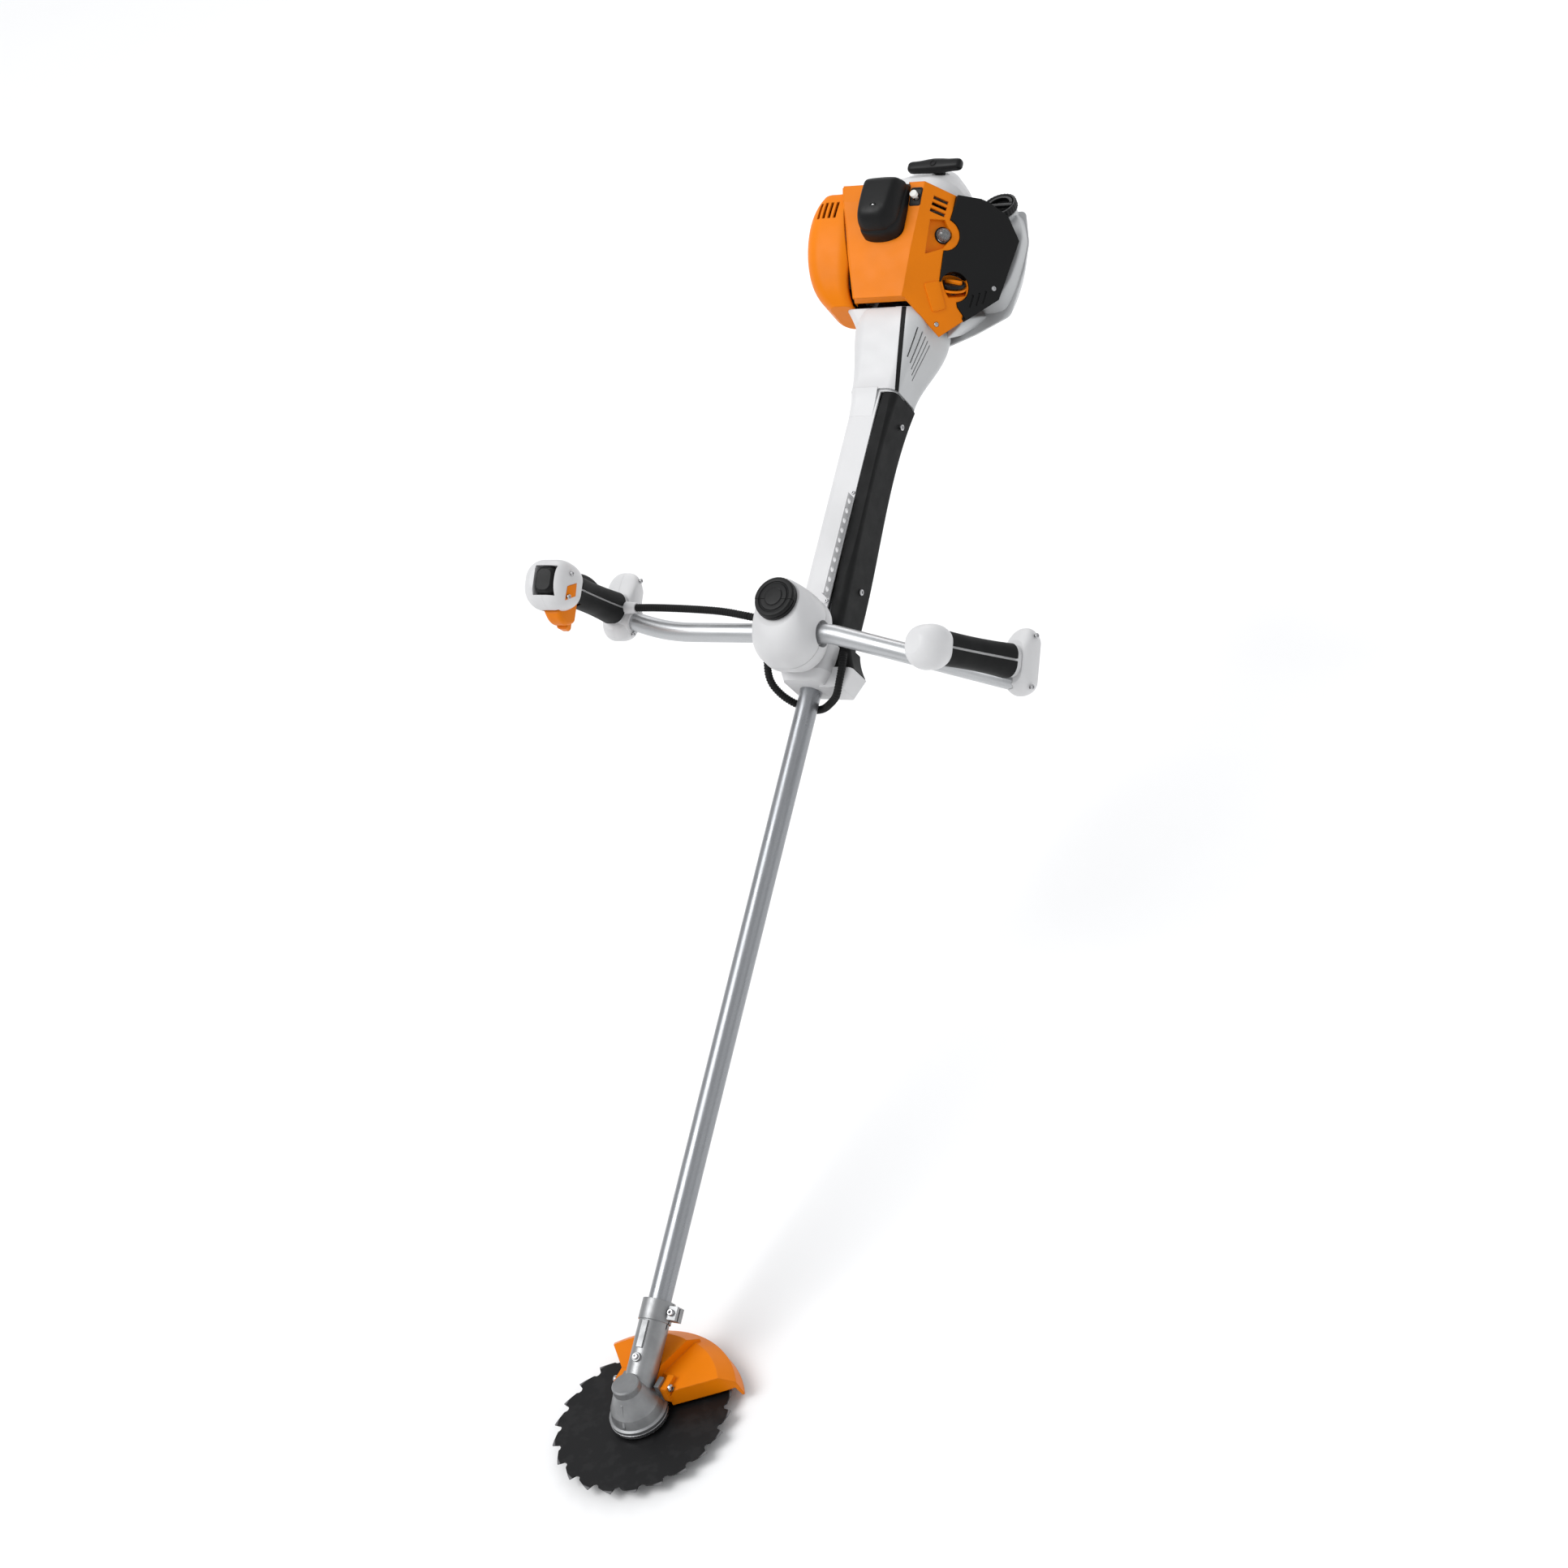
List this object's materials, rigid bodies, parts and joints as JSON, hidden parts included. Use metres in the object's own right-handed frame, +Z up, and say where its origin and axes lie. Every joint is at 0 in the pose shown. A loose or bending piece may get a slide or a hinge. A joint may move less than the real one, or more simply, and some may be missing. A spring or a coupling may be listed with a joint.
{
  "type": "brush cutter",
  "caption": "Petrol brush cutter: bent handlebar with two grips, long tube in a padded fairing, engine with recoil starter, and an angled gearbox with saw blade and stop guard.",
  "frame": {"origin": "centre of the fifth hole of the carrying strip, where the harness hook holds the machine", "axes": "+Z up along the blade's axis, so the blade lies level; +Y back towards the engine, with the tube rising 28 degrees; +X to the operator's left, along the carrying hole"},
  "size_m": [0.6589, 1.6089, 0.907],
  "materials": {
    "orange_plastic": "satin moulded plastic",
    "white_plastic": "fine-textured moulded plastic",
    "black_plastic": "fine-textured moulded plastic",
    "black_rubber": "soft matt rubber",
    "tank_plastic": "translucent moulded plastic",
    "cast_aluminium": "fine sand-blasted casting",
    "tube_aluminium": "drawn and anodised",
    "blade_steel": "black lacquer with ground tooth tips",
    "steel": "bright zinc plate",
    "dark_steel": "blackened steel",
    "clear_plastic": "clear flexible bulb over a dark base",
    "white_button": "smooth plastic",
    "filter_felt": "pleated felt",
    "rope": "braided cord"
  },
  "bodies": {
    "engine_and_shaft": {"air_filter": "filter_felt", "blade_guard": "orange_plastic", "carburettor": "cast_aluminium", "carrying_strip": "white_plastic", "clutch_housing": "tank_plastic", "control_hose_lower": "black_rubber", "crankcase": "cast_aluminium", "cylinder": "cast_aluminium", "engine_shroud": "orange_plastic", "fairing_shell": "white_plastic", "filter_cover": "black_plastic", "fuel_tank": "tank_plastic", "gearbox_housing": "cast_aluminium", "head_bearings": "steel", "hip_pad": "black_rubber", "housing_screws": "steel", "lower_housing": "white_plastic", "muffler": "dark_steel", "muffler_guard": "orange_plastic", "rubber_buffer": "black_rubber", "shaft_bushes": "black_rubber", "shaft_tube": "tube_aluminium", "spark_plug": "steel", "spark_plug_cap": "black_plastic", "starter_housing": "white_plastic", "vibration_springs": "steel"},
    "blade": {"output_shaft": "steel", "output_gear": "steel", "thrust_plate": "steel", "saw_blade": "blade_steel", "rider_plate": "steel", "blade_nut": "steel"},
    "drive_line": {"drive_pinion": "steel", "drive_shaft": "steel", "clutch_drum": "dark_steel"},
    "crank": {"crankshaft_and_clutch": "steel", "flywheel_fan": "cast_aluminium"},
    "clamp": {"clamp_base": "white_plastic", "clamp_cap": "white_plastic"},
    "knob": {"clamp_knob": "black_plastic"},
    "knob_wing": {"knob_bail": "black_plastic"},
    "handlebar": {"handlebar_tube": "tube_aluminium", "control_shell": "white_plastic", "control_cover": "white_plastic", "control_rubber": "black_rubber", "left_shell": "white_plastic", "left_rubber": "black_rubber", "handle_screws": "steel", "control_hose_upper": "black_rubber"},
    "throttle": {"throttle_trigger": "orange_plastic"},
    "lockout": {"trigger_lockout": "black_plastic"},
    "stop": {"stop_button": "black_plastic"},
    "choke": {"choke_knob": "black_plastic"},
    "purge": {"purge_bulb": "clear_plastic"},
    "decompression": {"decompression_button": "white_button"},
    "starter": {"starter_grip": "black_plastic", "starter_rope": "rope"},
    "pulley": {"rope_pulley": "black_plastic"},
    "fuel_cap": {"fuel_cap": "black_plastic"},
    "cap_bail": {"fuel_cap_bail": "black_plastic"}
  },
  "joints": [
    {"name": "blade_spin", "type": "hinge", "parent": "engine_and_shaft", "child": "blade", "pos_m": [-0.0105, -0.95358, -0.55176], "axis": [0, 0, 1], "continuous": true},
    {"name": "drive_spin", "type": "hinge", "parent": "engine_and_shaft", "child": "drive_line", "pos_m": [-0.0105, -0.95358, -0.55176], "axis": [0, 0.8829, 0.4695], "continuous": true},
    {"name": "crank_spin", "type": "hinge", "parent": "engine_and_shaft", "child": "crank", "pos_m": [-0.0105, 0.40616, 0.17122], "axis": [0, 0.8829, 0.4695], "continuous": true},
    {"name": "clamp_swivel", "type": "hinge", "parent": "engine_and_shaft", "child": "clamp", "pos_m": [-0.0105, -0.11638, -0.02394], "axis": [0, 0.4695, -0.8829], "range_deg": [0, 90], "deforming": ["control_hose_lower"]},
    {"name": "knob_turn", "type": "hinge", "parent": "clamp", "child": "knob", "pos_m": [-0.0105, -0.14033, 0.02109], "axis": [0, -0.4695, 0.8829], "range_deg": [0, 360]},
    {"name": "knob_wing_fold", "type": "hinge", "parent": "knob", "child": "knob_wing", "pos_m": [-0.0105, -0.14922, 0.02972], "axis": [-1, 0, 0], "range_deg": [0, 90]},
    {"name": "bar_tilt", "type": "hinge", "parent": "clamp", "child": "handlebar", "pos_m": [-0.0105, -0.13492, -0.0338], "axis": [1, 0, 0], "range_deg": [-15, 15]},
    {"name": "throttle_squeeze", "type": "hinge", "parent": "handlebar", "child": "throttle", "pos_m": [-0.2785, -0.22115, 0.08085], "axis": [1, 0, 0], "range_deg": [0, 12], "stiffness_Nm_per_rad": 0.5, "springref_deg": -17.19},
    {"name": "lockout_press", "type": "hinge", "parent": "handlebar", "child": "lockout", "pos_m": [-0.2785, -0.16903, 0.0763], "axis": [-1, 0, 0], "range_deg": [0, 5], "stiffness_Nm_per_rad": 0.3, "springref_deg": -11.46},
    {"name": "stop_press", "type": "slide", "parent": "handlebar", "child": "stop", "axis": [0, 0.6429, -0.766], "range_m": [0, 0.0025], "stiffness_N_per_m": 500, "springref_m": -0.004},
    {"name": "choke_turn", "type": "hinge", "parent": "engine_and_shaft", "child": "choke", "pos_m": [0.0655, 0.36015, 0.16828], "axis": [0.2387, 0.2569, 0.9365], "range_deg": [0, 90]},
    {"name": "purge_press", "type": "slide", "parent": "engine_and_shaft", "child": "purge", "axis": [-0.774, 0.422, -0.4721], "range_m": [0, 0.004], "stiffness_N_per_m": 300, "springref_m": -0.003},
    {"name": "decompression_press", "type": "slide", "parent": "engine_and_shaft", "child": "decompression", "axis": [0, 0.4695, -0.8829], "range_m": [0, 0.004], "stiffness_N_per_m": 300, "springref_m": -0.003},
    {"name": "starter_pull", "type": "slide", "parent": "engine_and_shaft", "child": "starter", "axis": [0, -0.4695, 0.8829], "range_m": [0, 0.75], "stiffness_N_per_m": 8, "springref_m": -0.6},
    {"name": "pulley_spin", "type": "hinge", "parent": "engine_and_shaft", "child": "pulley", "pos_m": [-0.0105, 0.51653, 0.22991], "axis": [0, 0.8829, 0.4695], "range_deg": [-1700, 0]},
    {"name": "fuel_cap_turn", "type": "hinge", "parent": "engine_and_shaft", "child": "fuel_cap", "pos_m": [0.0815, 0.50889, 0.19527], "axis": [0, -0.1255, 0.9921], "range_deg": [0, 90]},
    {"name": "cap_bail_fold", "type": "hinge", "parent": "fuel_cap", "child": "cap_bail", "pos_m": [0.0815, 0.51305, 0.20386], "axis": [1, 0, 0], "range_deg": [0, 90]}
  ],
  "couplings": [
    {"joint": "drive_spin", "follows": "blade_spin", "ratio": 1.3571},
    {"joint": "pulley_spin", "follows": "starter_pull", "rad_per_m": -39.216}
  ]
}
